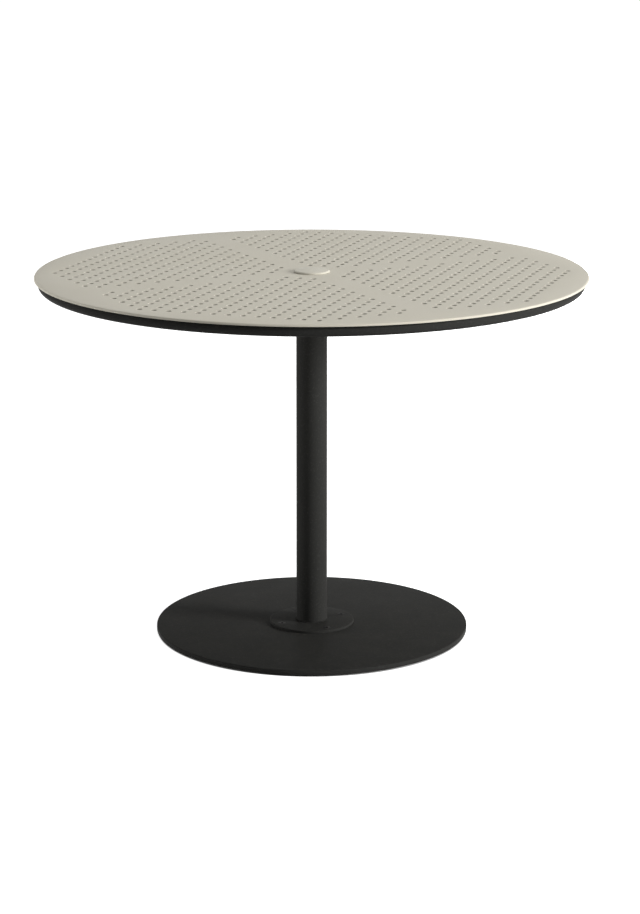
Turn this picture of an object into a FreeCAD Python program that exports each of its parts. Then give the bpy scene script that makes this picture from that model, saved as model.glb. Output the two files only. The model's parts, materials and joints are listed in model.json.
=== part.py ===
import FreeCAD, Part
import math
import os

# Round umbrella table: a perforated sheet top with a turned-down rim on a tube ring and four arms,
# a hollow pedestal column that takes the umbrella pole, and a flat round base plate.
# Millimetres, +Z up. The origin is on the floor at the table's axis, and the arms lie along X and Y.

# Overall sizes
TABLE_HEIGHT = 711.2
TOP_DIAMETER = 1066.8

# Perforated top sheet
SHEET_THICKNESS = 2.5
RIM_BEND_RADIUS = 3.5
RIM_DEPTH = 4.2
SHEET_HOLE_DIAMETER = 53.0
PERFORATION_DIAMETER = 11.1
PERFORATION_SIDES = 4
PERFORATION_STEP = 19.84
BLANK_BAND_WIDTH = 63.5
PERFORATION_LAST_ROW = 21
PERFORATION_LAST_DIAGONAL = 30

# Tube ring under the rim
RING_TUBE_DIAMETER = 22.2
RING_TUBE_WALL = 2.0
RING_BORE_SIDES = 8
RING_INSET = 7.0

# Support arms under the blank bands
ARM_WIDTH = 38.1
ARM_HEIGHT = 19.05
ARM_WALL = 2.0
ARM_ANGLES = (0, 90, 180, 270)

# Umbrella sleeve at the hub
SLEEVE_BORE = 50.8

# Pedestal column
COLUMN_DIAMETER = 60.3
COLUMN_WALL = 3.05

# Nylon guide for the umbrella pole, pressed into the column's top
GUIDE_BORE = 41.3
GUIDE_LENGTH = 38.0
GUIDE_LEAD_IN = 2.0

# Plate that carries the arms
ARM_PLATE_DIAMETER = 203.2
ARM_PLATE_THICKNESS = 5.0
ARM_BOLT_CIRCLE = 150.0

# Flange at the column's foot
FOOT_FLANGE_DIAMETER = 165.0
FOOT_FLANGE_THICKNESS = 5.0
FOOT_FLANGE_EDGE_CHAMFER = 1.5
FOOT_BOLT_CIRCLE = 130.0

# Base plate
BASE_DIAMETER = 609.6
BASE_THICKNESS = 9.5
BASE_EDGE_CHAMFER = 1.5

# Nylon glides pressed into the base plate
GLIDE_HEIGHT = 3.0
GLIDE_DIAMETER = 28.0
GLIDE_EDGE_CHAMFER = 1.0
GLIDE_PIN_DIAMETER = 6.0
GLIDE_PIN_LENGTH = 6.0
GLIDE_CIRCLE = 520.0
GLIDE_ANGLES = (45, 135, 225, 315)

# Cap that closes the umbrella hole
CAP_DIAMETER = 69.85
CAP_THICKNESS = 4.0
CAP_EDGE_CHAMFER = 1.2
CAP_SKIRT_LENGTH = 14.0
CAP_WALL = 2.0

# Weld studs that hold the sheet to the arms
STUD_DIAMETER = 6.0
STUD_RADII = (200.0, 400.0)
STUD_TIP = 2.0
STUD_NUT_WIDTH = 10.0
STUD_NUT_HEIGHT = 5.0
STUD_WASHER_DIAMETER = 16.0
STUD_WASHER_THICKNESS = 1.2

# Screws between the arm plate and the arms
ARM_BOLT_DIAMETER = 8.0
ARM_BOLT_HEAD_WIDTH = 13.0
ARM_BOLT_HEAD_HEIGHT = 5.3
ARM_WASHER_DIAMETER = 16.0
ARM_WASHER_THICKNESS = 1.6
ARM_NUT_WIDTH = 13.0
ARM_NUT_HEIGHT = 6.5
ARM_BOLT_TIP = 1.5

# Countersunk screws between the foot flange and the base plate
FOOT_BOLT_DIAMETER = 8.0
FOOT_BOLT_HEAD_DIAMETER = 16.0
FOOT_BOLT_SOCKET_WIDTH = 5.0
FOOT_BOLT_SOCKET_DEPTH = 2.5
FOOT_BOLT_REACH = 8.0

# Sides of the small round bars, holes and washers, kept few to keep the mesh light
HARDWARE_SIDES = 16

# Clearances
WELD_GAP = 0.1
THREAD_GAP = 0.1
CLEARANCE_HOLE_GAP = 0.5
CAP_CLEARANCE = 0.3
GUIDE_GAP = 0.05

# Radii and levels that follow from the sizes above
top_radius = TOP_DIAMETER / 2
base_bottom = GLIDE_HEIGHT
base_top = base_bottom + BASE_THICKNESS
foot_flange_top = base_top + FOOT_FLANGE_THICKNESS
sheet_bottom = TABLE_HEIGHT - SHEET_THICKNESS
arm_bottom = sheet_bottom - ARM_HEIGHT
arm_plate_bottom = arm_bottom - ARM_PLATE_THICKNESS
foot_bolt_cone = (FOOT_BOLT_HEAD_DIAMETER - FOOT_BOLT_DIAMETER) / 2
ring_tube_radius = RING_TUBE_DIAMETER / 2
ring_radius = top_radius - RING_INSET - ring_tube_radius
ring_level = sheet_bottom - ring_tube_radius
column_radius = COLUMN_DIAMETER / 2

UP = FreeCAD.Vector(0, 0, 1)
CENTRE = FreeCAD.Vector(0, 0, 0)


def point(radius, level):
    """A point of a section in the XZ plane."""
    return FreeCAD.Vector(radius, 0, level)


def cylinder(radius, bottom, top, x=0.0, y=0.0):
    """An upright round bar between two levels."""
    return Part.makeCylinder(radius, top - bottom, FreeCAD.Vector(x, y, bottom), UP)


def tube(outer_radius, inner_radius, bottom, top, x=0.0, y=0.0):
    """An upright tube between two levels."""
    return cylinder(outer_radius, bottom, top, x, y).cut(cylinder(inner_radius, bottom, top, x, y))


def outline(sides, radius, level, x=0.0, y=0.0):
    """A level polygon whose sides touch a circle."""
    corner = radius / math.cos(math.pi / sides)
    corners = []
    for index in range(sides + 1):
        angle = 2 * math.pi * index / sides
        corners.append(FreeCAD.Vector(x + corner * math.cos(angle), y + corner * math.sin(angle), level))
    return Part.makePolygon(corners)


def bar(radius, bottom, top, x=0.0, y=0.0, sides=HARDWARE_SIDES):
    """An upright bar for small hardware and its holes."""
    return Part.Face(outline(sides, radius, bottom, x, y)).extrude(UP * (top - bottom))


def countersink(gap, x, y):
    """The foot screw's cone, or with a gap the recess that takes it."""
    low = outline(HARDWARE_SIDES, FOOT_BOLT_DIAMETER / 2 + gap, foot_flange_top - foot_bolt_cone, x, y)
    high = outline(HARDWARE_SIDES, FOOT_BOLT_HEAD_DIAMETER / 2 + gap, foot_flange_top, x, y)
    return Part.makeLoft([low, high], True, True)


def hexagon(width, bottom, top, x=0.0, y=0.0):
    """An upright hexagon bar, sized across its flats."""
    return bar(width / 2, bottom, top, x, y, 6)


def washer(diameter, bore, bottom, top, x, y):
    """A flat washer."""
    return bar(diameter / 2, bottom, top, x, y).cut(bar(bore / 2, bottom, top, x, y))


def chamfer_edges(shape, level, size):
    """Chamfer every circular edge of a shape at one level."""
    edges = [e for e in shape.Edges if e.Closed and abs(e.BoundBox.ZMin - level) < 1e-6
             and abs(e.BoundBox.ZMax - level) < 1e-6]
    return shape.makeChamfer(size, edges)


def polar(radius, angle):
    """X and Y of a place at a radius and an angle in degrees."""
    return radius * math.cos(math.radians(angle)), radius * math.sin(math.radians(angle))


def turned(shape, angle):
    """A copy of a shape turned about the table's axis."""
    copy = shape.copy()
    copy.rotate(CENTRE, UP, angle)
    return copy


def perforation_places():
    """Centres of the holes: a diagonal lattice in each quarter, kept off the two blank bands."""
    first = BLANK_BAND_WIDTH / 2
    places = []
    for row in range(PERFORATION_LAST_ROW + 1):
        for column in range(PERFORATION_LAST_ROW + 1):
            diagonal = row + column
            if diagonal % 2 or not 0 < diagonal <= PERFORATION_LAST_DIAGONAL:
                continue
            x = first + row * PERFORATION_STEP
            y = first + column * PERFORATION_STEP
            places += [(x, y), (-x, y), (-x, -y), (x, -y)]
    return places


def perforation_outline(x, y):
    """One hole's outline: few sides, with the round hole's area."""
    round_area = math.pi * PERFORATION_DIAMETER ** 2 / 4
    flats_radius = math.sqrt(round_area / (PERFORATION_SIDES * math.tan(math.pi / PERFORATION_SIDES)))
    return outline(PERFORATION_SIDES, flats_radius, sheet_bottom, x, y)


def make_table_top():
    """Perforated sheet with an umbrella hole and a turned-down rim: a flat disc sewn to a revolved rim."""
    bend_start = top_radius - RIM_BEND_RADIUS
    bend_level = TABLE_HEIGHT - RIM_BEND_RADIUS
    rim_bottom = TABLE_HEIGHT - RIM_DEPTH
    rim_inside = top_radius - SHEET_THICKNESS
    slant = math.sqrt(0.5)
    floor = FreeCAD.Vector(0, 0, sheet_bottom)
    edge = Part.Wire(Part.makeCircle(bend_start, floor))
    holes = [Part.Wire(Part.makeCircle(SHEET_HOLE_DIAMETER / 2, floor))]
    holes += [perforation_outline(x, y) for x, y in perforation_places()]
    flat = Part.Face([edge] + [hole.reversed() for hole in holes]).extrude(UP * SHEET_THICKNESS)
    outer_arc = Part.Arc(point(bend_start, TABLE_HEIGHT),
                         point(bend_start + RIM_BEND_RADIUS * slant, bend_level + RIM_BEND_RADIUS * slant),
                         point(top_radius, bend_level))
    rim = Part.Wire([outer_arc.toShape(),
                     Part.makeLine(point(top_radius, bend_level), point(top_radius, rim_bottom)),
                     Part.makeLine(point(top_radius, rim_bottom), point(rim_inside, rim_bottom)),
                     Part.makeLine(point(rim_inside, rim_bottom), point(rim_inside, sheet_bottom)),
                     Part.makeLine(point(rim_inside, sheet_bottom), point(bend_start, sheet_bottom))])
    rim = rim.revolve(CENTRE, UP, 360)
    disc_faces = [face for face in flat.Faces
                  if not (isinstance(face.Surface, Part.Cylinder) and face.Surface.Radius > bend_start / 2)]
    skin = Part.Compound(disc_faces + rim.Faces)
    skin.sewShape()
    return Part.makeSolid(skin)


def ring_bar(tube_radius):
    """A solid ring on the tube ring's centre line."""
    return Part.makeTorus(ring_radius, tube_radius, FreeCAD.Vector(0, 0, ring_level), UP)


def make_apron_ring():
    """Round tube bent to a ring, just inside the rim. The closed inside has few sides."""
    corner = (ring_tube_radius - RING_TUBE_WALL) / math.cos(math.pi / RING_BORE_SIDES)
    corners = []
    for index in range(RING_BORE_SIDES + 1):
        angle = 2 * math.pi * (index + 0.5) / RING_BORE_SIDES
        corners.append(point(ring_radius + corner * math.cos(angle), ring_level + corner * math.sin(angle)))
    bore = Part.Face(Part.makePolygon(corners)).revolve(CENTRE, UP, 360)
    return ring_bar(ring_tube_radius).cut(bore)


def make_support_arm(angle):
    """Flat rectangular tube from the sleeve to the ring, with both ends cut to the tubes they meet."""
    half_width = ARM_WIDTH / 2
    outer = Part.makeBox(ring_radius, ARM_WIDTH, ARM_HEIGHT, FreeCAD.Vector(0, -half_width, arm_bottom))
    inner = Part.makeBox(ring_radius, ARM_WIDTH - 2 * ARM_WALL, ARM_HEIGHT - 2 * ARM_WALL,
                         FreeCAD.Vector(0, ARM_WALL - half_width, arm_bottom + ARM_WALL))
    arm = outer.cut(inner)
    arm = arm.cut(cylinder(column_radius + WELD_GAP, arm_bottom, sheet_bottom))
    arm = arm.cut(ring_bar(ring_tube_radius + WELD_GAP))
    arm = max(arm.Solids, key=lambda solid: solid.Volume)
    for radius in STUD_RADII:
        arm = arm.cut(bar(STUD_DIAMETER / 2 + CLEARANCE_HOLE_GAP, arm_bottom, sheet_bottom, radius))
    arm = arm.cut(bar(ARM_BOLT_DIAMETER / 2 + CLEARANCE_HOLE_GAP, arm_bottom, arm_bottom + ARM_WALL,
                      ARM_BOLT_CIRCLE / 2))
    return turned(arm, angle)


def make_hub_sleeve():
    """Short thick tube between the arms that guides the umbrella pole."""
    return tube(column_radius, SLEEVE_BORE / 2, arm_bottom, sheet_bottom)


def make_arm_plate():
    """Round plate welded round the column's top, under the arms."""
    plate = tube(ARM_PLATE_DIAMETER / 2, column_radius + WELD_GAP, arm_plate_bottom, arm_bottom)
    for angle in ARM_ANGLES:
        x, y = polar(ARM_BOLT_CIRCLE / 2, angle)
        plate = plate.cut(bar(ARM_BOLT_DIAMETER / 2 + CLEARANCE_HOLE_GAP, arm_plate_bottom, arm_bottom, x, y))
    return plate


def make_column():
    """Hollow pedestal column from the base plate to the arms."""
    return tube(column_radius, column_radius - COLUMN_WALL, base_top, arm_bottom)


def make_pole_guide():
    """Nylon bush in the column's top, with a lead-in for the umbrella pole."""
    outer_radius = column_radius - COLUMN_WALL - GUIDE_GAP
    bush = tube(outer_radius, GUIDE_BORE / 2, arm_bottom - GUIDE_LENGTH, arm_bottom)
    mouth = [edge for edge in bush.Edges if edge.Closed and edge.BoundBox.ZMin > arm_bottom - 1e-3
             and edge.BoundBox.XMax < outer_radius - 1e-3]
    return bush.makeChamfer(GUIDE_LEAD_IN, mouth)


def make_foot_flange():
    """Round flange welded round the column's foot, countersunk for its screws."""
    flange = cylinder(FOOT_FLANGE_DIAMETER / 2, base_top, foot_flange_top)
    flange = chamfer_edges(flange, foot_flange_top, FOOT_FLANGE_EDGE_CHAMFER)
    flange = flange.cut(cylinder(column_radius + WELD_GAP, base_top, foot_flange_top))
    for angle in ARM_ANGLES:
        x, y = polar(FOOT_BOLT_CIRCLE / 2, angle)
        flange = flange.cut(bar(FOOT_BOLT_DIAMETER / 2 + THREAD_GAP, base_top, foot_flange_top, x, y))
        flange = flange.cut(countersink(THREAD_GAP, x, y))
    return flange


def make_base_plate():
    """Flat round plate with tapped holes for the foot screws and blind holes for the glide pins."""
    plate = chamfer_edges(cylinder(BASE_DIAMETER / 2, base_bottom, base_top), base_top, BASE_EDGE_CHAMFER)
    for angle in ARM_ANGLES:
        x, y = polar(FOOT_BOLT_CIRCLE / 2, angle)
        plate = plate.cut(bar(FOOT_BOLT_DIAMETER / 2 + THREAD_GAP, base_top - FOOT_BOLT_REACH - THREAD_GAP,
                              base_top, x, y))
    for angle in GLIDE_ANGLES:
        x, y = polar(GLIDE_CIRCLE / 2, angle)
        plate = plate.cut(bar(GLIDE_PIN_DIAMETER / 2 + THREAD_GAP, base_bottom,
                              base_bottom + GLIDE_PIN_LENGTH + THREAD_GAP, x, y))
    return plate


def make_glide(angle):
    """Nylon pad with a chamfered sole and a pin pressed into the base plate."""
    x, y = polar(GLIDE_CIRCLE / 2, angle)
    pad = chamfer_edges(cylinder(GLIDE_DIAMETER / 2, 0, GLIDE_HEIGHT, x, y), 0, GLIDE_EDGE_CHAMFER)
    return pad.fuse(bar(GLIDE_PIN_DIAMETER / 2, GLIDE_HEIGHT, GLIDE_HEIGHT + GLIDE_PIN_LENGTH, x, y))


def make_hole_cap():
    """Low round cap with a hollow skirt that drops into the umbrella hole."""
    disc = cylinder(CAP_DIAMETER / 2, TABLE_HEIGHT, TABLE_HEIGHT + CAP_THICKNESS)
    disc = chamfer_edges(disc, TABLE_HEIGHT + CAP_THICKNESS, CAP_EDGE_CHAMFER)
    skirt_radius = SLEEVE_BORE / 2 - CAP_CLEARANCE
    skirt_inside = skirt_radius - CAP_WALL
    skirt = cylinder(skirt_radius, TABLE_HEIGHT - CAP_SKIRT_LENGTH, TABLE_HEIGHT)
    hollow_top = TABLE_HEIGHT + CAP_THICKNESS - CAP_WALL
    hollow = cylinder(skirt_inside, TABLE_HEIGHT - CAP_SKIRT_LENGTH, hollow_top)
    return disc.fuse(skirt).cut(hollow).removeSplitter()


def stud_places():
    """Places of the studs: two under each blank band's half."""
    return [polar(radius, angle) for angle in ARM_ANGLES for radius in STUD_RADII]


def make_top_studs():
    """Threaded studs welded to the sheet's underside, through the arms."""
    tip = arm_bottom - STUD_WASHER_THICKNESS - STUD_NUT_HEIGHT - STUD_TIP
    return [bar(STUD_DIAMETER / 2, tip, sheet_bottom, x, y) for x, y in stud_places()]


def make_stud_washers():
    """Flat washers on the studs, under the arms."""
    bottom = arm_bottom - STUD_WASHER_THICKNESS
    bore = STUD_DIAMETER + 2 * THREAD_GAP
    return [washer(STUD_WASHER_DIAMETER, bore, bottom, arm_bottom, x, y) for x, y in stud_places()]


def make_stud_nuts():
    """Hexagon nuts on the studs."""
    top = arm_bottom - STUD_WASHER_THICKNESS
    bottom = top - STUD_NUT_HEIGHT
    bore = STUD_DIAMETER / 2 + THREAD_GAP
    return [hexagon(STUD_NUT_WIDTH, bottom, top, x, y).cut(bar(bore, bottom, top, x, y))
            for x, y in stud_places()]


def make_arm_bolts():
    """Hexagon screws up through the arm plate, one into each arm."""
    head_top = arm_plate_bottom - ARM_WASHER_THICKNESS
    tip = arm_bottom + ARM_WALL + ARM_NUT_HEIGHT + ARM_BOLT_TIP
    bolts = []
    for angle in ARM_ANGLES:
        x, y = polar(ARM_BOLT_CIRCLE / 2, angle)
        head = hexagon(ARM_BOLT_HEAD_WIDTH, head_top - ARM_BOLT_HEAD_HEIGHT, head_top, x, y)
        bolts.append(head.fuse(bar(ARM_BOLT_DIAMETER / 2, head_top, tip, x, y)))
    return bolts


def make_arm_washers():
    """Flat washers between the arm screws' heads and the plate."""
    bottom = arm_plate_bottom - ARM_WASHER_THICKNESS
    bore = ARM_BOLT_DIAMETER + 2 * THREAD_GAP
    places = [polar(ARM_BOLT_CIRCLE / 2, angle) for angle in ARM_ANGLES]
    return [washer(ARM_WASHER_DIAMETER, bore, bottom, arm_plate_bottom, x, y) for x, y in places]


def make_arm_nuts():
    """Weld nuts inside the arms, on their lower walls."""
    bottom = arm_bottom + ARM_WALL
    top = bottom + ARM_NUT_HEIGHT
    bore = ARM_BOLT_DIAMETER / 2 + THREAD_GAP
    places = [polar(ARM_BOLT_CIRCLE / 2, angle) for angle in ARM_ANGLES]
    return [hexagon(ARM_NUT_WIDTH, bottom, top, x, y).cut(bar(bore, bottom, top, x, y)) for x, y in places]


def make_foot_bolts():
    """Countersunk screws down through the foot flange into the base plate, each with a hexagon socket."""
    bolts = []
    for angle in ARM_ANGLES:
        x, y = polar(FOOT_BOLT_CIRCLE / 2, angle)
        shank = bar(FOOT_BOLT_DIAMETER / 2, base_top - FOOT_BOLT_REACH, foot_flange_top - foot_bolt_cone, x, y)
        socket = hexagon(FOOT_BOLT_SOCKET_WIDTH, foot_flange_top - FOOT_BOLT_SOCKET_DEPTH, foot_flange_top, x, y)
        bolts.append(shank.fuse(countersink(0, x, y)).cut(socket))
    return bolts


def save(node, shape):
    """Write one sub-part, given as one solid or as a list of equal pieces."""
    if isinstance(shape, list):
        shape = Part.makeCompound(shape)
    shape.exportStep("parts/" + node + ".step")
    box = shape.BoundBox
    print(node, len(shape.Solids), round(shape.Volume),
          [round(value, 2) for value in (box.XMin, box.YMin, box.ZMin, box.XMax, box.YMax, box.ZMax)])


def main():
    """Build every sub-part from the floor up."""
    os.makedirs("parts", exist_ok=True)
    for number, angle in enumerate(GLIDE_ANGLES, 1):
        save("glide_" + str(number), make_glide(angle))
    save("base_plate", make_base_plate())
    save("foot_flange", make_foot_flange())
    save("foot_bolts", make_foot_bolts())
    save("column", make_column())
    save("pole_guide", make_pole_guide())
    save("arm_plate", make_arm_plate())
    save("arm_washers", make_arm_washers())
    save("arm_bolts", make_arm_bolts())
    save("arm_nuts", make_arm_nuts())
    save("hub_sleeve", make_hub_sleeve())
    for number, angle in enumerate(ARM_ANGLES, 1):
        save("support_arm_" + str(number), make_support_arm(angle))
    save("apron_ring", make_apron_ring())
    save("stud_washers", make_stud_washers())
    save("stud_nuts", make_stud_nuts())
    save("top_studs", make_top_studs())
    save("table_top", make_table_top())
    save("hole_cap", make_hole_cap())


main()
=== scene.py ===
"""Looks of the umbrella table: finer visible pieces, procedural finishes, a plain studio and the camera.

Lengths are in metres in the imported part's frame: +Z runs up the column, the origin is on the floor, and
the support arms and the blank bands of the top lie along X and Y.
"""

import json
import logging
import math
from collections.abc import Callable, Sequence
from dataclasses import dataclass
from enum import Enum

import bmesh
import bpy
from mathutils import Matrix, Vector

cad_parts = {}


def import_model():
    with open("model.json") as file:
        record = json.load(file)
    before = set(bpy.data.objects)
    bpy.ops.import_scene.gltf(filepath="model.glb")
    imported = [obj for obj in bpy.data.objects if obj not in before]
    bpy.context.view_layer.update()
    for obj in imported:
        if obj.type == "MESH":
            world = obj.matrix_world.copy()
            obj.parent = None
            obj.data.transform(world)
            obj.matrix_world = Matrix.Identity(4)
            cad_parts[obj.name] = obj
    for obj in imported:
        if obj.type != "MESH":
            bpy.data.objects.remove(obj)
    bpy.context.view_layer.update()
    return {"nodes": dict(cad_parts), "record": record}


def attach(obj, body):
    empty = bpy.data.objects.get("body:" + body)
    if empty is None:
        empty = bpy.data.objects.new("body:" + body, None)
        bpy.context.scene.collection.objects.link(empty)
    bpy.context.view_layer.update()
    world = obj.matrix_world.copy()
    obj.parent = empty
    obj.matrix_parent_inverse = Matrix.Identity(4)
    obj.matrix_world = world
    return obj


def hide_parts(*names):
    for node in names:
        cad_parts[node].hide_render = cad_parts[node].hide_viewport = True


LOG = logging.getLogger("umbrella_table")

Piece = bpy.types.Object
Socket = bpy.types.NodeSocket
Tree = bpy.types.NodeTree
Material = bpy.types.Material
Pair = tuple[float, float]
Section = Sequence[Pair]
Place = tuple[float, float, float]
Colour = tuple[float, float, float]

AXIS: Pair = (0, 0)
QUARTERS = (0, 90, 180, 270)
WHITE = (1, 1, 1, 1)
BLACK = (0, 0, 0, 1)

# How close two lengths, two merged vertices or two angles in radians have to be
NEAR = 2e-5
DOUBLES = 1e-6
NEAR_ANGLE = 0.01

# Up to how many degrees the edges of turned, of cut and of lumpy pieces are shaded smooth
TURNED_SMOOTH = 40
CUT_SMOOTH = 32
ALL_SMOOTH = 180

# A hexagon head: its crown's flat as a share of its width, and the cone that cuts its corners
CROWN_FLAT = 0.46
CONE_REACH = 1.05
CONE_SLOPE = 30
CONE_OVER = 0.001
CONE_SIDES = 48
HEAD_EASE = 0.0003

# The rounding of small fasteners' edges, and the facets of their washers
SMALL_EASE = 0.00025
WASHER_SIDES = 40

# A ripple of a weld bead: its facets, and how far its ball is squashed along X, Y and Z
RIPPLE_SEGMENTS = 10
RIPPLE_RINGS = 6
RIPPLE_SQUASH = (0.9, 0.8, 0.9)


class Pick(Enum):
    """What a selection in edit mode is made of."""

    VERTICES = "VERT"
    EDGES = "EDGE"
    FACES = "FACE"


class Workpiece:
    """One mesh, shaped round an upright axis in edit mode with Blender's own operators."""

    def __init__(self, name: str, centre: Pair = AXIS) -> None:
        """Start an empty mesh at the origin and open it for editing.

        Args:
            name: the finished piece's name.
            centre: X and Y of its axis.
        """
        leave_edit_mode()
        bpy.ops.object.select_all(action="DESELECT")
        bpy.ops.object.add(type="MESH", location=(0, 0, 0))
        self.centre = centre
        self.obj: Piece = bpy.context.object
        self.obj.name = name
        self.obj.data.name = name
        bpy.ops.object.mode_set(mode="EDIT")

    def pick(self, kind: Pick, test: Callable[[object], bool]) -> None:
        """Select only the elements that pass a test.

        Args:
            kind: vertices, edges or faces.
            test: says whether a bmesh element is wanted.
        """
        bpy.ops.mesh.select_mode(type=kind.value)
        bpy.ops.mesh.select_all(action="DESELECT")
        mesh = bmesh.from_edit_mesh(self.obj.data)
        elements = {Pick.VERTICES: mesh.verts, Pick.EDGES: mesh.edges, Pick.FACES: mesh.faces}[kind]
        for element in elements:
            if test(element):
                element.select_set(True)
        mesh.select_flush_mode()
        bmesh.update_edit_mesh(self.obj.data)

    def pick_all(self, action: str = "SELECT") -> None:
        """Select the whole mesh, or with DESELECT nothing of it."""
        bpy.ops.mesh.select_mode(type=Pick.VERTICES.value)
        bpy.ops.mesh.select_all(action=action)

    def on_ring(self, vertex: bmesh.types.BMVert, radius: float, level: float) -> bool:
        """Whether a vertex lies on a ring round the axis."""
        away = math.hypot(vertex.co.x - self.centre[0], vertex.co.y - self.centre[1])
        return abs(away - radius) < NEAR and abs(vertex.co.z - level) < NEAR

    def pick_rings(self, places: Section, loose_end: bool = False) -> None:
        """Select the rings of edges at some (radius, level) places.

        Args:
            places: radius and level of each ring.
            loose_end: takes only edges with fewer than two faces.
        """

        def wanted(edge: bmesh.types.BMEdge) -> bool:
            """Whether an edge belongs to one of the rings."""
            if loose_end and len(edge.link_faces) > 1:
                return False
            return any(all(self.on_ring(vertex, *place) for vertex in edge.verts) for place in places)

        self.pick(Pick.EDGES, wanted)

    def ring(self, radius: float, level: float, sides: int) -> None:
        """Add a ring of edges at a level, which stays selected."""
        self.pick_all("DESELECT")
        bpy.ops.mesh.primitive_circle_add(vertices=sides, radius=radius, location=(*self.centre, level))

    def draw(self, rise: float, scale: float) -> None:
        """Extrude the selected ring by a rise and scale its new end."""
        bpy.ops.mesh.extrude_edges_move(TRANSFORM_OT_translate={"value": (0, 0, rise)})
        bpy.ops.transform.resize(value=(scale, scale, 1), center_override=(*self.centre, 0))

    def turn(self, section: Section, sides: int, closed: bool = False) -> None:
        """Turn a section of (radius, level) places about the axis.

        Args:
            section: the places in order; the first and last rings are filled where it isn't closed.
            sides: the number of facets.
            closed: joins the last place to the first, for a body with a bore.
        """
        places = [*section, section[0]] if closed else section
        self.ring(*places[0], sides)
        if not closed:
            bpy.ops.mesh.edge_face_add()
        for (radius, level), (next_radius, next_level) in zip(places, places[1:]):
            self.pick_rings([(radius, level)], loose_end=True)
            self.draw(next_level - level, next_radius / radius)
        if not closed:
            bpy.ops.mesh.edge_face_add()
        self.merge()

    def round_picked(self, reach: float, facets: int) -> None:
        """Round the selected edges."""
        bpy.ops.mesh.bevel(offset=reach, segments=facets, profile=0.5, affect="EDGES", clamp_overlap=False)

    def ease(self, reach: float, facets: int, places: Section) -> None:
        """Round the rings of edges at some (radius, level) places."""
        self.pick_rings(places)
        self.round_picked(reach, facets)

    def merge(self) -> None:
        """Merge doubles and turn all faces outwards."""
        self.pick_all()
        bpy.ops.mesh.remove_doubles(threshold=DOUBLES)
        bpy.ops.mesh.normals_make_consistent(inside=False)

    def finish(self, smooth_under: float = TURNED_SMOOTH) -> Piece:
        """Leave edit mode and shade the mesh smooth up to an angle.

        Args:
            smooth_under: edges that are sharper than this many degrees stay sharp.

        Returns:
            The finished object.
        """
        leave_edit_mode()
        select_only(self.obj)
        bpy.ops.object.shade_smooth_by_angle(angle=math.radians(smooth_under))
        return self.obj


def leave_edit_mode() -> None:
    """Return to object mode from any other."""
    if bpy.context.object is not None and bpy.context.object.mode != "OBJECT":
        bpy.ops.object.mode_set(mode="OBJECT")


def select_only(obj: Piece) -> None:
    """Make an object the only selected one, and the active one."""
    bpy.ops.object.select_all(action="DESELECT")
    obj.select_set(True)
    bpy.context.view_layer.objects.active = obj


def turn_selected(angle: float) -> None:
    """Turn what is selected anticlockwise; with no window the operator itself turns clockwise."""
    bpy.ops.transform.rotate(value=-math.radians(angle), orient_axis="Z", center_override=(0, 0, 0))


def repeat_round(count: int) -> None:
    """Copy what is selected round the table's axis, until there are so many in all."""
    for _ in range(count - 1):
        bpy.ops.mesh.duplicate()
        turn_selected(360 / count)


def apply_modifier(obj: Piece, kind: str, **settings: object) -> None:
    """Add a modifier to an object and apply it.

    Args:
        obj: the object.
        kind: the modifier's type.
        settings: its properties.
    """
    leave_edit_mode()
    select_only(obj)
    modifier = obj.modifiers.new(kind.lower(), kind)
    for name, value in settings.items():
        setattr(modifier, name, value)
    bpy.ops.object.modifier_apply(modifier=modifier.name)


def carve(piece: Piece, cutter: Piece, keep_cutter: bool = False) -> None:
    """Cut one closed mesh out of another, and shade the result again.

    Args:
        piece: what is cut.
        cutter: what cuts it.
        keep_cutter: leaves the cutter in the scene.
    """
    apply_modifier(piece, "BOOLEAN", operation="DIFFERENCE", solver="EXACT", object=cutter)
    bpy.ops.object.shade_smooth_by_angle(angle=math.radians(CUT_SMOOTH))
    if not keep_cutter:
        bpy.data.objects.remove(cutter)


def four_of(first: Piece, stem: str) -> list[Piece]:
    """Copy a finished piece, each time with its own mesh, to the table's other three quarters.

    Args:
        first: the piece.
        stem: the name of all four before their numbers.

    Returns:
        The four pieces.
    """
    pieces = [first]
    for number, angle in enumerate(QUARTERS[1:], 2):
        select_only(first)
        bpy.ops.object.duplicate()
        copy = bpy.context.object
        copy.name = f"{stem}_{number}"
        copy.data.name = f"{stem}_{number}"
        bpy.ops.object.mode_set(mode="EDIT")
        bpy.ops.mesh.select_all(action="SELECT")
        turn_selected(angle)
        leave_edit_mode()
        pieces.append(copy)
    return pieces


def copies_round(piece: Piece, smooth_under: float = CUT_SMOOTH) -> Piece:
    """Copy a piece's mesh to all four quarters of the table in one object, and shade it.

    Args:
        piece: the one in the first quarter.
        smooth_under: edges that are sharper than this many degrees stay sharp.

    Returns:
        The same object.
    """
    leave_edit_mode()
    select_only(piece)
    bpy.ops.object.mode_set(mode="EDIT")
    bpy.ops.mesh.select_mode(type=Pick.VERTICES.value)
    bpy.ops.mesh.select_all(action="SELECT")
    repeat_round(len(QUARTERS))
    leave_edit_mode()
    bpy.ops.object.shade_smooth_by_angle(angle=math.radians(smooth_under))
    return piece


def tube(outer: float, inner: float, low: float, high: float) -> list[Pair]:
    """Give the section of a ring with square edges."""
    return [(outer, low), (outer, high), (inner, high), (inner, low)]


def turned(name: str, section: Section, sides: int, *eased: tuple[float, int, Section], closed: bool = True,
           centre: Pair = AXIS, smooth_under: float = TURNED_SMOOTH) -> Piece:
    """Turn a section about an upright axis and round some of its edges.

    Args:
        name: the piece's name.
        section: its (radius, level) places in order.
        sides: the number of facets.
        eased: the reach, the facets and the places of each rounding.
        closed: whether the section closes round a bore.
        centre: X and Y of the axis.
        smooth_under: edges that are sharper than this many degrees stay sharp.

    Returns:
        The finished piece.
    """
    work = Workpiece(name, centre)
    work.turn(section, sides, closed)
    for easing in eased:
        work.ease(*easing)
    return work.finish(smooth_under)


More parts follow.
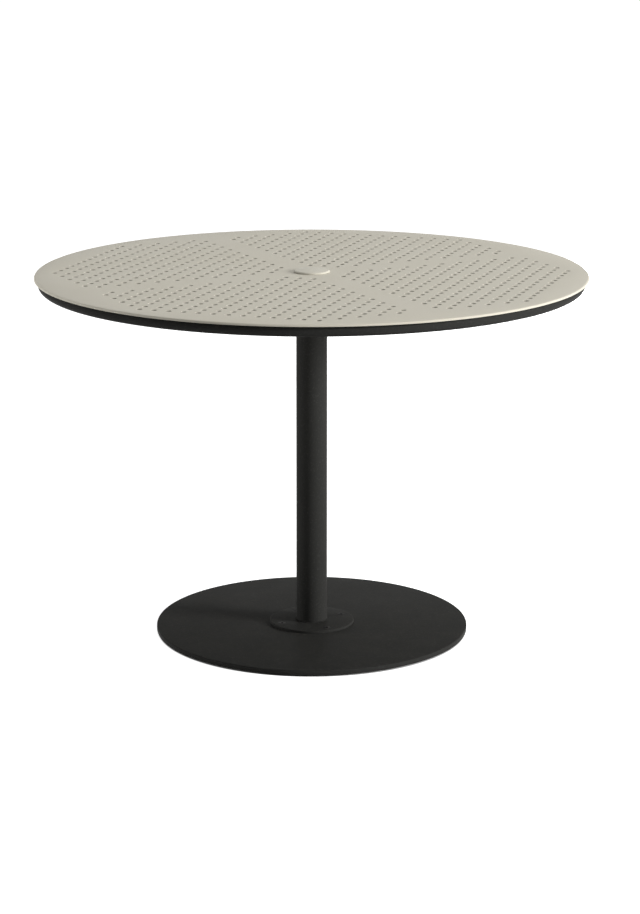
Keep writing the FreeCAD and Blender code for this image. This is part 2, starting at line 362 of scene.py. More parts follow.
def model_washer(work: Workpiece, radius: float, bore: float, top: float, thickness: float) -> None:
    """Model one flat washer with eased outer edges.

    Args:
        work: the piece that takes it.
        radius: its outer radius.
        bore: its inner radius.
        top: its upper level.
        thickness: its thickness.
    """
    section = tube(radius, bore, top - thickness, top)
    work.turn(section, WASHER_SIDES, closed=True)
    work.ease(SMALL_EASE, 2, section[:2])


def hexagon_head(name: str, centre: Pair, width: float, seat: float, height: float) -> Piece:
    """Model a hexagon head that hangs down, with its corners cut by a cone.

    Args:
        name: the piece's name.
        centre: X and Y of its axis.
        width: across the flats.
        seat: the level of its bearing face.
        height: how far it hangs below the seat.

    Returns:
        The head, in object mode.
    """
    corner = width / math.sqrt(3)
    crown = seat - height
    work = Workpiece(name)
    bpy.ops.mesh.primitive_cylinder_add(vertices=6, radius=corner, depth=seat - crown,
                                        location=(*centre, (seat + crown) / 2))
    reach, flat = corner * CONE_REACH, width * CROWN_FLAT
    drop = (reach - flat) * math.tan(math.radians(CONE_SLOPE))
    blank = Workpiece(name + "_blank", centre)
    blank.turn([(reach, seat + CONE_OVER), (reach, crown + drop), (flat, crown)], CONE_SIDES)
    apply_modifier(work.obj, "BOOLEAN", operation="INTERSECT", solver="EXACT", object=blank.obj)
    bpy.data.objects.remove(blank.obj)
    apply_modifier(work.obj, "BEVEL", width=HEAD_EASE, segments=2, limit_method="ANGLE",
                   angle_limit=math.radians(40))
    return work.obj


def model_ripple(work: Workpiece, place: Place, size: float) -> None:
    """Model one ripple of a weld bead: a small flattened ball.

    Args:
        work: the bead's piece.
        place: its centre.
        size: its radius.
    """
    work.pick_all("DESELECT")
    bpy.ops.mesh.primitive_uv_sphere_add(segments=RIPPLE_SEGMENTS, ring_count=RIPPLE_RINGS, radius=size,
                                         location=place)
    bpy.ops.transform.resize(value=RIPPLE_SQUASH, center_override=place)


def weld_ring(name: str, radius: float, level: float, size: float, count: int) -> Piece:
    """Lay a weld bead right round the table's axis.

    Args:
        name: the piece's name.
        radius: the radius of its middle line.
        level: the line's height.
        size: the bead's own radius.
        count: its number of ripples.

    Returns:
        The finished bead.
    """
    work = Workpiece(name)
    model_ripple(work, (radius, 0, level), size)
    repeat_round(count)
    return work.finish(ALL_SMOOTH)


def linear(colour: Colour) -> tuple[float, float, float, float]:
    """Turn a colour as it looks on a screen into linear values with an alpha of 1."""
    parts = [part / 12.92 if part <= 0.04045 else ((part + 0.055) / 1.055) ** 2.4 for part in colour]
    return *parts, 1.0


def brighter(colour: Colour, gain: float) -> Colour:
    """Raise a colour by a factor, up to white."""
    return tuple(min(1.0, part * gain) for part in colour)


class NodeSheet:
    """The node tree of a material, world or group, with short ways to add and join nodes."""

    def __init__(self, tree: Tree) -> None:
        """Start on an emptied tree."""
        self.tree = tree
        self.tree.nodes.clear()

    def add(self, kind: str, values: dict[str | int, object] | None = None,
            **settings: object) -> bpy.types.Node:
        """Add a node.

        Args:
            kind: the node's type without its ShaderNode prefix, or a full name that begins with Node.
            values: a constant or a source for each input, by name or number.
            settings: its own properties.

        Returns:
            The node.
        """
        node = self.tree.nodes.new(kind if kind.startswith("Node") else "ShaderNode" + kind)
        for name, value in settings.items():
            setattr(node, name, value)
        for name, value in (values or {}).items():
            self.feed(node, name, value)
        return node

    def feed(self, node: bpy.types.Node, name: str | int, value: object) -> None:
        """Set an input, or link it from another node's output.

        Args:
            node: the node.
            name: the input's name or number.
            value: a constant or an output socket.
        """
        if isinstance(value, Socket):
            self.tree.links.new(value, node.inputs[name])
        else:
            node.inputs[name].default_value = value

    def maths(self, operation: str, first: object, second: object = 0.0, clamp: bool = False) -> Socket:
        """Add a Math node, which may clamp its result from 0 to 1."""
        return self.add("Math", {0: first, 1: second}, operation=operation, use_clamp=clamp).outputs[0]

    def plus(self, first: object, second: object, clamp: bool = False) -> Socket:
        """Add two values."""
        return self.maths("ADD", first, second, clamp)

    def times(self, first: object, second: object, clamp: bool = False) -> Socket:
        """Multiply two values."""
        return self.maths("MULTIPLY", first, second, clamp)

    def less(self, first: object, second: object) -> Socket:
        """Take the second value from the first."""
        return self.maths("SUBTRACT", first, second)

    def noise(self, place: object, scale: object, detail: float = 2, roughness: float = 0.5) -> Socket:
        """Add a noise texture with so many features for each metre, and so many octaves."""
        values = {"Vector": place, "Scale": scale, "Detail": detail, "Roughness": roughness}
        return self.add("TexNoise", values).outputs["Fac"]

    def steps(self, value: object, low: float, high: float, start: float = 0, end: float = 1) -> Socket:
        """Map the range from low to high smoothly to another, clamped at its ends."""
        values = {"Value": value, "From Min": low, "From Max": high, "To Min": start, "To Max": end}
        return self.add("MapRange", values, interpolation_type="SMOOTHSTEP").outputs["Result"]

    def blend(self, amount: object, first: object, second: object, mode: str = "MIX") -> Socket:
        """Mix some amount of a second colour into a first."""
        return self.add("Mix", {0: amount, 6: first, 7: second}, data_type="RGBA", blend_type=mode).outputs[2]

    def grey(self, value: Socket) -> Socket:
        """Turn a value into a grey of that strength."""
        return self.add("CombineColor", {0: value, 1: value, 2: value}).outputs[0]

    def rise(self) -> Socket:
        """How far up the surface looks: 1 for level faces, 0 for walls."""
        return self.add("SeparateXYZ", {0: self.add("NewGeometry").outputs["Normal"]}).outputs["Z"]

    def from_axis(self, place: Socket) -> Socket:
        """How far a place lies from the table's axis."""
        x, y, _ = self.add("SeparateXYZ", {0: place}).outputs
        return self.maths("SQRT", self.plus(self.times(x, x), self.times(y, y)))

    def seen_white(self) -> Socket:
        """Whether a ray comes from the camera, or from a glossy or clear surface."""
        path = self.add("LightPath").outputs
        seen = self.plus(path["Is Camera Ray"], path["Is Glossy Ray"])
        return self.plus(seen, path["Is Transmission Ray"], clamp=True)


class EffectSheet(NodeSheet):
    """The sheet of a node group that reads a place, a size and an amount."""

    def __init__(self, name: str, numbers: dict[str, float], outputs: dict[str, str]) -> None:
        """Make the group with its named sockets.

        Args:
            name: the group's name.
            numbers: the names and defaults of the size and the amount.
            outputs: each output's socket type.
        """
        tree = bpy.data.node_groups.new(name, "ShaderNodeTree")
        tree.interface.new_socket(name="Place", in_out="INPUT", socket_type="NodeSocketVector")
        for label, default in numbers.items():
            socket = tree.interface.new_socket(name=label, in_out="INPUT", socket_type="NodeSocketFloat")
            socket.default_value = default
        for label, kind in outputs.items():
            tree.interface.new_socket(name=label, in_out="OUTPUT", socket_type="NodeSocket" + kind)
        super().__init__(tree)
        self.place, self.size, self.amount = self.add("NodeGroupInput").outputs[:3]
        self.end = self.add("NodeGroupOutput")


class Effects:
    """Surface effects that several finishes share, each a node group."""

    def __init__(self) -> None:
        """Build every group once."""
        self.grain = self.build_grain()
        self.patches = self.build_patches()
        self.dust = self.build_dust()
        self.scuffs = self.build_scuffs()

    @staticmethod
    def build_grain() -> Tree:
        """Build the fine pebbled skin of a coating: its height, and the tone of its pits."""
        outputs = {"Height": "Float", "Tint": "Color"}
        sheet = EffectSheet("coating_grain", {"Size": 900.0, "Tone": 0.1}, outputs)
        pebbles = sheet.add("TexVoronoi", {"Vector": sheet.place, "Scale": sheet.size}, feature="SMOOTH_F1")
        soft = sheet.noise(sheet.place, sheet.times(sheet.size, 0.55), 3, 0.6)
        height = sheet.plus(sheet.times(pebbles.outputs["Distance"], -0.5), soft)
        tint = sheet.blend(sheet.steps(height, 0.0, 0.55), BLACK, WHITE)
        darkest = sheet.grey(sheet.less(1.0, sheet.amount))
        sheet.feed(sheet.end, "Height", height)
        sheet.feed(sheet.end, "Tint", sheet.blend(1.0, tint, darkest, "LIGHTEN"))
        return sheet.tree

    @staticmethod
    def build_patches() -> Tree:
        """Build broad, faint unevenness of a coating, as a multiplier round 1."""
        outputs = {"Tint": "Color", "Mask": "Float"}
        sheet = EffectSheet("broad_patches", {"Size": 6.0, "Amount": 0.04}, outputs)
        mask = sheet.steps(sheet.noise(sheet.place, sheet.size, 4, 0.55), 0.3, 0.7)
        drop = sheet.times(sheet.less(1.0, mask), sheet.amount)
        sheet.feed(sheet.end, "Tint", sheet.grey(sheet.less(1.0, drop)))
        sheet.feed(sheet.end, "Mask", mask)
        return sheet.tree

    @staticmethod
    def build_dust() -> Tree:
        """Build a mask of dry dust, clouds and specks, that lies on faces which look up."""
        sheet = EffectSheet("settled_dust", {"Size": 22.0, "Amount": 0.2}, {"Mask": "Float"})
        lying = sheet.steps(sheet.rise(), 0.35, 0.95)
        clouds = sheet.steps(sheet.noise(sheet.place, sheet.size, 5, 0.62), 0.38, 0.75)
        specks = sheet.steps(sheet.noise(sheet.place, 900.0, 1), 0.62, 0.72)
        both = sheet.plus(sheet.times(clouds, 0.7), sheet.times(specks, 0.3))
        sheet.feed(sheet.end, "Mask", sheet.times(sheet.times(both, lying), sheet.amount, clamp=True))
        return sheet.tree

    @staticmethod
    def build_scuffs() -> Tree:
        """Build a mask of short rubbed streaks that come in clusters."""
        sheet = EffectSheet("rubbed_streaks", {"Size": 40.0, "Amount": 0.3}, {"Mask": "Float"})
        slant = {"Vector": sheet.place, "Rotation": (0.2, 0.1, 0.6), "Scale": (1.0, 7.0, 2.0)}
        streaks = sheet.noise(sheet.add("Mapping", slant).outputs[0], sheet.times(sheet.size, 6.0), 3, 0.6)
        clusters = sheet.steps(sheet.noise(sheet.place, sheet.size), 0.55, 0.75)
        both = sheet.times(sheet.steps(streaks, 0.6, 0.72), clusters)
        sheet.feed(sheet.end, "Mask", sheet.times(both, sheet.amount, clamp=True))
        return sheet.tree


class Skin:
    """A material in the making, laid out by the object's own coordinates."""

    def __init__(self, name: str) -> None:
        """Start an empty material."""
        self.made = bpy.data.materials.new(name)
        self.made.use_nodes = True
        self.sheet = NodeSheet(self.made.node_tree)
        self.place = self.sheet.add("TexCoord").outputs["Object"]

    def effect(self, group: Tree, measures: Pair) -> dict[str, Socket]:
        """Put in a shared effect with its size and amount, and give its outputs."""
        values = {0: self.place, 1: measures[0], 2: measures[1]}
        return self.sheet.add("Group", values, node_tree=group).outputs

    def tint(self, base: object, tint: Socket) -> Socket:
        """Multiply a colour by a tint."""
        return self.sheet.blend(1.0, base, tint, "MULTIPLY")

    def cover(self, base: Socket, mask: Socket, colour: Colour) -> Socket:
        """Lay a colour over the base where a mask says so."""
        return self.sheet.blend(mask, base, linear(colour))

    def rough(self, least: object, mask: Socket, spread: float, clamp: bool = True) -> Socket:
        """Raise a roughness where a mask says so."""
        return self.sheet.plus(least, self.sheet.times(mask, spread), clamp)

    def bump(self, height: Socket, depth: float, strength: float = 1.0) -> Socket:
        """Turn a height into a bumped normal."""
        values = {"Height": height, "Strength": strength, "Distance": depth}
        return self.sheet.add("Bump", values).outputs[0]

    def close(self, base: Socket, rough: Socket, gloss: float, bump: Socket, metallic: float = 0) -> Material:
        """End in one Principled surface, and give the material."""
        values = {"Base Color": base, "Metallic": metallic, "Roughness": rough, "Specular IOR Level": gloss,
                  "Normal": bump}
        return self.output(self.sheet.add("BsdfPrincipled", values).outputs[0])

    def output(self, surface: Socket) -> Material:
        """Join the surface to the output, and give the material."""
        self.sheet.add("OutputMaterial", {"Surface": surface})
        return self.made


@dataclass(frozen=True)
class Coat:
    """A baked powder coat; each pair is the size and the amount of an effect."""

    name: str
    slot: str
    colour: Colour
    roughness: float
    gloss: float
    grain: Pair
    grain_depth: float
    patches: Pair
    dust: Pair
    scuffs: Pair
    # Painted shade on the perforations' upright walls: out to what radius, how dark, and how soft its outer
    # edge
    hole_shade_reach: float = 0.0
    hole_shade_tone: float = 1.0
    hole_shade_edge: float = 0.001
    rough_spread: float = 0.08
    dust_rough: float = 0.3
    dust_colour: Colour = (0.55, 0.53, 0.49)
    scuff_gain: float = 1.6

    def paint_hole_shade(self, skin: Skin) -> Socket:
        """Darken the upright walls of the perforations with painted shade.

        Args:
            skin: the material in the making.

        Returns:
            The tint that the coat's colour is multiplied by.
        """
        sheet = skin.sheet
        away = sheet.from_axis(skin.place)
        within = sheet.steps(away, self.hole_shade_reach, self.hole_shade_reach + self.hole_shade_edge, 1, 0)
        upright = sheet.steps(sheet.maths("ABSOLUTE", sheet.rise()), 0.3, 0.9, 1, 0)
        return sheet.blend(sheet.times(within, upright), WHITE, (*[self.hole_shade_tone] * 3, 1))

    def material(self, effects: Effects) -> Material:
        """Build the coat's material.

        Args:
            effects: the shared node groups.

        Returns:
            The material.
        """
        skin = Skin(self.name)
        grain = skin.effect(effects.grain, self.grain)
        patches = skin.effect(effects.patches, self.patches)
        dust = skin.effect(effects.dust, self.dust)["Mask"]
        scuffs = skin.effect(effects.scuffs, self.scuffs)["Mask"]
        base = skin.tint(skin.tint(linear(self.colour), grain["Tint"]), patches["Tint"])
        # painted shade on the perforations' walls
        if self.hole_shade_reach:
            base = skin.tint(base, self.paint_hole_shade(skin))
        base = skin.cover(base, dust, self.dust_colour)
        base = skin.cover(base, scuffs, brighter(self.colour, self.scuff_gain))
        rough = skin.rough(self.roughness - self.rough_spread / 2, patches["Mask"], self.rough_spread, False)
        rough = skin.rough(rough, dust, self.dust_rough)
        return skin.close(base, rough, self.gloss, skin.bump(grain["Height"], self.grain_depth))


@dataclass(frozen=True)
class Plated:
    """A plated or blackened steel; each pair is the size and the amount of an effect."""

    name: str
    slot: str
    colour: Colour
    metallic: float
    roughness: float
    gloss: float = 0.5
    patches: Pair = (160.0, 0.22)
    scuffs: Pair = (260.0, 0.5)
    dust: Pair = (90.0, 0.12)
    rough_spread: float = 0.12
    scuff_gain: float = 1.25
    dust_colour: Colour = (0.5, 0.48, 0.45)
    skin_size: float = 1400.0
    skin_depth: float = 0.00004
    skin_strength: float = 0.5

    def material(self, effects: Effects) -> Material:
        """Build the metal's material.

        Args:
            effects: the shared node groups.

        Returns:
            The material.
        """
        skin = Skin(self.name)
        patches = skin.effect(effects.patches, self.patches)
        scuffs = skin.effect(effects.scuffs, self.scuffs)["Mask"]
        dust = skin.effect(effects.dust, self.dust)["Mask"]
        base = skin.tint(linear(self.colour), patches["Tint"])
        base = skin.cover(base, scuffs, brighter(self.colour, self.scuff_gain))
        base = skin.cover(base, dust, self.dust_colour)
        rough = skin.rough(self.roughness, patches["Mask"], self.rough_spread)
        bump = skin.bump(skin.sheet.noise(skin.place, self.skin_size), self.skin_depth, self.skin_strength)
        return skin.close(base, rough, self.gloss, bump, self.metallic)


@dataclass(frozen=True)
class Moulded:
    """A moulded plastic with a spark-eroded skin; each pair is the size and the amount of an effect."""

    name: str
    slot: str
    colour: Colour
    grain: Pair
    dust: Pair
    roughness: float = 0.5
    gloss: float = 0.4
    grain_depth: float = 0.00006
    patches: Pair = (60.0, 0.05)
    rough_spread: float = 0.1
    dust_colour: Colour = (0.6, 0.58, 0.54)

    def material(self, effects: Effects) -> Material:
        """Build the plastic's material.

        Args:
            effects: the shared node groups.

        Returns:
            The material.
        """
        skin = Skin(self.name)
        grain = skin.effect(effects.grain, self.grain)
        patches = skin.effect(effects.patches, self.patches)
        dust = skin.effect(effects.dust, self.dust)["Mask"]
        base = skin.tint(skin.tint(linear(self.colour), patches["Tint"]), grain["Tint"])
        base = skin.cover(base, dust, self.dust_colour)
        rough = skin.rough(self.roughness, patches["Mask"], self.rough_spread)
        return skin.close(base, rough, self.gloss, skin.bump(grain["Height"], self.grain_depth))


class Finish(Enum):
    """The table's finishes."""

    # the pale coat carries painted shade on its perforations' walls
    PALE_COAT = Coat("pale_powder_coat", "pale_paint", (0.757, 0.739, 0.685), roughness=0.55, gloss=0.25,
                     grain=(900.0, 0.03), grain_depth=0.00008, patches=(5.0, 0.03), dust=(18.0, 0.05),
                     scuffs=(30.0, 0.06), hole_shade_reach=0.52, hole_shade_tone=0.62)
    DARK_COAT = Coat("charcoal_powder_coat", "dark_paint", (0.208, 0.208, 0.202), roughness=0.36,
                     gloss=0.0024, grain=(500.0, 0.25), grain_depth=0.00012, patches=(5.0, 0.04),
                     dust=(18.0, 0.02), scuffs=(30.0, 0.04))
    PALE_CAP = Moulded("pale_cap_plastic", "pale_plastic", (0.752, 0.737, 0.685), grain=(700.0, 0.03),
                       dust=(60.0, 0.04))
    NYLON = Moulded("black_nylon", "nylon", (0.06, 0.06, 0.062), grain=(900.0, 0.03), dust=(60.0, 0.12))
    ZINC = Plated("zinc_plated_steel", "zinc_steel", (0.66, 0.665, 0.68), metallic=1.0, roughness=0.34)
    BLACK_STEEL = Plated("blackened_steel", "dark_fastener", (0.14, 0.14, 0.142), metallic=0.1,
                         roughness=0.5, gloss=0.02)


class Dresser:
    """Gives finished pieces their material and body."""

    def __init__(self) -> None:
        """Build every material once."""
        effects = Effects()
        self.materials = {finish: finish.value.material(effects) for finish in Finish}

    def paint(self, obj: Piece, finish: Finish) -> None:
        """Give an object a finish's material.

        Args:
            obj: a finished piece, or a CAD node that stays.
            finish: its finish.
        """
        obj.data.materials.clear()
        obj.data.materials.append(self.materials[finish])

    def dress(self, piece: Piece, finish: Finish, node: str = "", body: str = "table") -> None:
        """Give a piece its finish, and let it stand for its CAD node.

        Args:
            piece: the finished object.
            finish: its finish.
            node: the CAD node that it replaces, where it has one.
            body: the CAD body that it moves with.
        """
        self.paint(piece, finish)
        if node:
            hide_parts(node)
        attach(piece, body)
        LOG.info("%s: %d faces, %s", piece.name, len(piece.data.polygons), finish.value.name)


@dataclass
class SheetTop:
    """The perforated sheet with its turned-down rim."""

    level: float = 0.7112
    thickness: float = 0.0025
    radius: float = 0.5334
    bend: float = 0.0035
    depth: float = 0.0042
    rim_nick: float = 0.0003
    rim_sides: int = 192
    outer_steps: int = 6
    inner_steps: int = 4
    umbrella_hole: float = 0.0265
    umbrella_sides: int = 96
    hole: float = 0.0055
    hole_sides: int = 16
    lip: float = 0.0004
    pitch: float = 0.01984
    first: float = 0.03175
    last_row: int = 21
    last_diagonal: int = 30

    @property
    def bottom(self) -> float:
        """The level of the sheet's underside."""
        return self.level - self.thickness

    def places(self) -> list[Pair]:
        """List the holes' centres in one quarter, row by row."""
        rows = range(self.last_row + 1)
        pairs = [(row, column) for row in rows for column in rows]
        kept = [pair for pair in pairs if sum(pair) % 2 == 0 and 0 < sum(pair) <= self.last_diagonal]
        return [(self.first + row * self.pitch, self.first + column * self.pitch) for row, column in kept]

    def model_cell(self, work: Workpiece) -> None:
        """Model one hole with the sheet round it, out to a square that stands on its corner.

        Args:
            work: the sheet.
        """
        wide = self.hole + self.lip
        work.ring(wide, self.level, self.hole_sides)
        work.draw(-self.lip, self.hole / wide)
        work.draw(2 * self.lip - self.thickness, 1)
        work.draw(-self.lip, wide / self.hole)
        for level in (self.level, self.bottom):
            work.pick_rings([(wide, level)], loose_end=True)
            self.spread_cell(work, wide, level)

    def spread_cell(self, work: Workpiece, wide: float, level: float) -> None:
        """Extrude a hole's selected lip outwards to the square: to a circle in it, then corner by corner.

        Args:
            work: the sheet.
            wide: the lip's radius.
            level: its height.
        """
        inside = self.pitch / math.sqrt(2)
        quarter = math.pi / 2
        x, y = work.centre
        work.draw(0, inside / wide)
        for step in range(self.hole_sides // 8):
            angle = step * 2 * math.pi / self.hole_sides
            grow = self.pitch / (math.cos(angle) + math.sin(angle)) / inside

            def wanted(vertex: bmesh.types.BMVert) -> bool:
                """Whether a vertex of the new circle lies at this angle from the nearest corner."""
                turn = math.atan2(vertex.co.y - y, vertex.co.x - x) % quarter
                off = min(turn, quarter - turn)
                return work.on_ring(vertex, inside, level) and abs(off - angle) < NEAR_ANGLE

            work.pick(Pick.VERTICES, wanted)
            bpy.ops.transform.resize(value=(grow, grow, 1), center_override=(x, y, 0))

    def rim_section(self) -> list[Pair]:
        """Give the bent rim's section from the flat's edge, over the outside and back under."""
        start = self.radius - self.bend
        inside = self.radius - self.thickness
        middle = self.level - self.bend
        inner = self.bend - self.thickness
        foot = self.level - self.depth
        nick = self.rim_nick
        over = [math.radians(90 - 90 / self.outer_steps * step) for step in range(self.outer_steps + 1)]
        back = [math.radians(90 / self.inner_steps * step) for step in range(1, self.inner_steps + 1)]
        return [*((start + self.bend * math.cos(a), middle + self.bend * math.sin(a)) for a in over),
                (self.radius, foot + nick), (self.radius - nick, foot), (inside + nick, foot),
                (inside, foot + nick), (inside, middle),
                *((start + inner * math.cos(a), middle + inner * math.sin(a)) for a in back)]

    def build(self) -> Piece:
        """Model the sheet: one cell copied over a quarter, mirrored, and joined to the rim by fills."""
        places = self.places()
        work = Workpiece("top_sheet", places[0])
        self.model_cell(work)
        work.pick_all()
        for (x, y), (next_x, next_y) in zip(places, places[1:]):
            bpy.ops.mesh.duplicate_move(TRANSFORM_OT_translate={"value": (next_x - x, next_y - y, 0)})
        work.merge()
        apply_modifier(work.obj, "MIRROR", use_axis=(True, True, False), use_mirror_merge=False)
        bpy.ops.object.mode_set(mode="EDIT")
        work.centre = AXIS
        rim = self.rim_section()
        work.ring(*rim[0], self.rim_sides)
        for (radius, level), (next_radius, next_level) in zip(rim, rim[1:]):
            work.draw(next_level - level, next_radius / radius)
        wide = self.umbrella_hole + self.lip
        work.ring(wide, self.level, self.umbrella_sides)
        work.draw(-self.lip, self.umbrella_hole / wide)
        work.draw(self.lip - self.thickness, 1)
        for level in (self.level, self.bottom):
            work.pick(Pick.EDGES, lambda edge, at=level: len(edge.link_faces) < 2 and all(
                abs(vertex.co.z - at) < NEAR for vertex in edge.verts))
            bpy.ops.mesh.fill(use_beauty=True)
        work.merge()
        return work.finish()

    def dress(self, dresser: Dresser) -> None:
        """Build the sheet and give it its finish."""
        dresser.dress(self.build(), Finish.PALE_COAT, "table_top")


@dataclass
class HoleCap:
    """The lift-out cap over the umbrella hole."""

    seat: float = 0.7112
    radius: float = 0.034925
    thickness: float = 0.004
    edge: float = 0.003
    small_edge: float = 0.0004
    skirt_radius: float = 0.0251
    skirt_length: float = 0.014
    wall: float = 0.002
    sides: int = 96

    def build(self) -> Piece:
        """Turn the cap with its skirt."""
        top = self.seat + self.thickness
        foot = self.seat - self.skirt_length
        bore = self.skirt_radius - self.wall
        rim, seat = (self.radius, top), (self.radius, self.seat)
        inner, outer = (bore, foot), (self.skirt_radius, foot)
        section = [(bore, top - self.wall), inner, outer, (self.skirt_radius, self.seat), seat, rim]
        return turned("cap", section, self.sides, (self.edge, 5, [rim]),
                      (self.small_edge, 2, [inner, outer, seat]), closed=False)

    def dress(self, dresser: Dresser) -> None:
        """Build the cap, which moves by itself, and give it its finish."""
        dresser.dress(self.build(), Finish.PALE_CAP, "hole_cap", "cap")


@dataclass
class UnderFrame:
    """The tube ring, the arms, the hub and their fasteners."""

    ring_radius: float = 0.5153
    ring_level: float = 0.6976
    ring_steps: int = 192
    tube_radius: float = 0.0111
    tube_sides: int = 32
    arm_width: float = 0.0381
    arm_height: float = 0.01905
    arm_wall: float = 0.002
    arm_corner: float = 0.0025
    arm_end_gap: float = 0.003
    sheet_bottom: float = 0.7087
    sleeve_radius: float = 0.03015
    sleeve_bore: float = 0.0254
    sleeve_sides: int = 96
    cut_over: float = 0.01
    plate_radius: float = 0.1016
    plate_thickness: float = 0.005
    plate_edge: float = 0.0007
    plate_sides: int = 128
    gap: float = 0.0001
    screw_circle: float = 0.075
    screw_width: float = 0.013
    screw_head: float = 0.0053
    screw_washer: float = 0.008
    screw_washer_bore: float = 0.0042
    screw_washer_thickness: float = 0.0016
    stud_radii: Pair = (0.2, 0.4)
    stud_radius: float = 0.003
    stud_tip: float = 0.002
    stud_sides: int = 20
    thread_pitch: float = 0.001
    thread_ridges: int = 4
    thread_root: float = 0.86
    thread_lead: float = 0.0003
    tip_taper: float = 0.9
    plain_shank: float = 0.004
    nut_width: float = 0.01
    nut_height: float = 0.005
    stud_washer: float = 0.008
    stud_washer_thickness: float = 0.0012
    arm_bead: float = 0.002
    arm_bead_step: float = 0.0024
    side_ripples: int = 7
    lower_ripples: int = 15
    plate_bead: float = 0.0022
    plate_bead_out: float = 0.0008
    plate_bead_drop: float = 0.0006
    plate_ripples: int = 70

    @property
    def arm_bottom(self) -> float:
        """The level of the arms' underside."""
        return self.sheet_bottom - self.arm_height

    @property
    def plate_bottom(self) -> float:
        """The level of the plate's underside."""
        return self.arm_bottom - self.plate_thickness

    def build_ring(self) -> Piece:
        """Spin a round section about the table's axis."""
        work = Workpiece("apron_tube")
        bpy.ops.mesh.primitive_circle_add(vertices=self.tube_sides, radius=self.tube_radius,
                                          rotation=(math.pi / 2, 0, 0),
                                          location=(self.ring_radius, 0, self.ring_level))
        bpy.ops.mesh.spin(steps=self.ring_steps, angle=2 * math.pi, center=(0, 0, 0), axis=(0, 0, 1))
        work.merge()
        return work.finish(smooth_under=60)

    def build_arms(self, ring: Piece) -> list[Piece]:
        """Model one rectangular tube with rounded corners, cut its ends to what they meet, and copy it.

        Args:
            ring: the tube ring, which cuts the outer end.

        Returns:
            The four arms.
        """
        length = self.ring_radius - self.arm_end_gap
        middle = (length / 2, 0, self.arm_bottom + self.arm_height / 2)
        work = Workpiece("arm_tube_1")
        bpy.ops.mesh.primitive_cube_add(size=1, location=middle)
        bpy.ops.transform.resize(value=(length, self.arm_width, self.arm_height), center_override=middle)
        work.pick(Pick.FACES, lambda face: abs(face.normal.x) > 0.9)
        bpy.ops.mesh.delete(type="FACE")
        work.pick(Pick.EDGES, lambda edge: abs(edge.verts[0].co.x - edge.verts[1].co.x) > length / 2)
        work.round_picked(self.arm_corner, 4)
        apply_modifier(work.obj, "SOLIDIFY", thickness=self.arm_wall, offset=-1)
        hub = Workpiece("hub_cutter")
        hub.turn([(self.sleeve_radius, self.arm_bottom - self.cut_over),
                  (self.sleeve_radius, self.sheet_bottom + self.cut_over)], self.sleeve_sides)
        carve(work.obj, hub.obj)
        carve(work.obj, ring, keep_cutter=True)
        bpy.ops.object.mode_set(mode="EDIT")
        work.merge()
        return four_of(work.finish(CUT_SMOOTH), "arm_tube")

    def build_sleeve(self) -> Piece:
        """Turn the hub's sleeve."""
        section = tube(self.sleeve_radius, self.sleeve_bore, self.arm_bottom, self.sheet_bottom)
        return turned("hub_tube", section, self.sleeve_sides)

    def build_plate(self) -> Piece:
        """Turn the arm plate with eased edges."""
        section = tube(self.plate_radius, self.sleeve_radius + self.gap, self.plate_bottom, self.arm_bottom)
        return turned("arm_plate_disc", section, self.plate_sides, (self.plate_edge, 3, section[:2]))

    def build_screws(self) -> Piece:
        """Model one hexagon head under the plate and copy it round."""
        seat = self.plate_bottom - self.screw_washer_thickness
        return copies_round(hexagon_head("arm_screw_set", (self.screw_circle, 0), self.screw_width, seat,
                                         self.screw_head))

    def build_screw_washers(self) -> Piece:
        """Model one washer under the plate and copy it round."""
        work = Workpiece("arm_washer_set", (self.screw_circle, 0))
        model_washer(work, self.screw_washer, self.screw_washer_bore, self.plate_bottom,
                     self.screw_washer_thickness)
        return copies_round(work.obj)

    def build_stud_washers(self) -> Piece:
        """Model one washer at each stud of an arm and copy the row round."""
        work = Workpiece("stud_washer_set")
        for distance in self.stud_radii:
            work.centre = (distance, 0)
            model_washer(work, self.stud_washer, self.stud_radius + self.gap, self.arm_bottom,
                         self.stud_washer_thickness)
        return copies_round(work.obj)

    def build_stud_nuts(self) -> Piece:
        """Model one nut, copy it to the arm's other stud, and copy the row round."""
        inner, outer = self.stud_radii
        seat = self.arm_bottom - self.stud_washer_thickness
        nut = hexagon_head("stud_nut_set", (inner, 0), self.nut_width, seat, self.nut_height)
        bpy.ops.object.mode_set(mode="EDIT")
        bpy.ops.mesh.select_all(action="SELECT")
        bpy.ops.mesh.duplicate_move(TRANSFORM_OT_translate={"value": (outer - inner, 0, 0)})
        return copies_round(nut)

    def build_studs(self) -> Piece:
        """Turn one stud with its thread's ridges, copy it along the arm, and copy the row round."""
        tip = self.arm_bottom - self.stud_washer_thickness - self.nut_height - self.stud_tip
        thread = tip + self.thread_lead
        root = self.stud_radius * self.thread_root
        section = [(root * self.tip_taper, tip), (root, thread)]
        for ridge in range(self.thread_ridges):
            start = thread + ridge * self.thread_pitch
            section += [(self.stud_radius, start + self.thread_pitch / 2), (root, start + self.thread_pitch)]
        section += [(self.stud_radius, self.sheet_bottom - self.plain_shank),
                    (self.stud_radius, self.sheet_bottom)]
        work = Workpiece("stud_set")
        for distance in self.stud_radii:
            work.centre = (distance, 0)
            work.turn(section, self.stud_sides)
        return copies_round(work.obj)

    def build_arm_welds(self) -> Piece:
        """Lay a weld bead round three sides of an arm's outer end, and copy it to the other arms."""
        half = self.arm_width / 2
        low = self.arm_bottom - self.ring_level

        def inner_face(y: float, rise: float) -> float:
            """X of the ring's inner face, at a place across the arm and a rise from the ring's middle."""
            reach = self.ring_radius - math.sqrt(self.tube_radius ** 2 - rise ** 2)
            return math.sqrt(reach ** 2 - y ** 2)

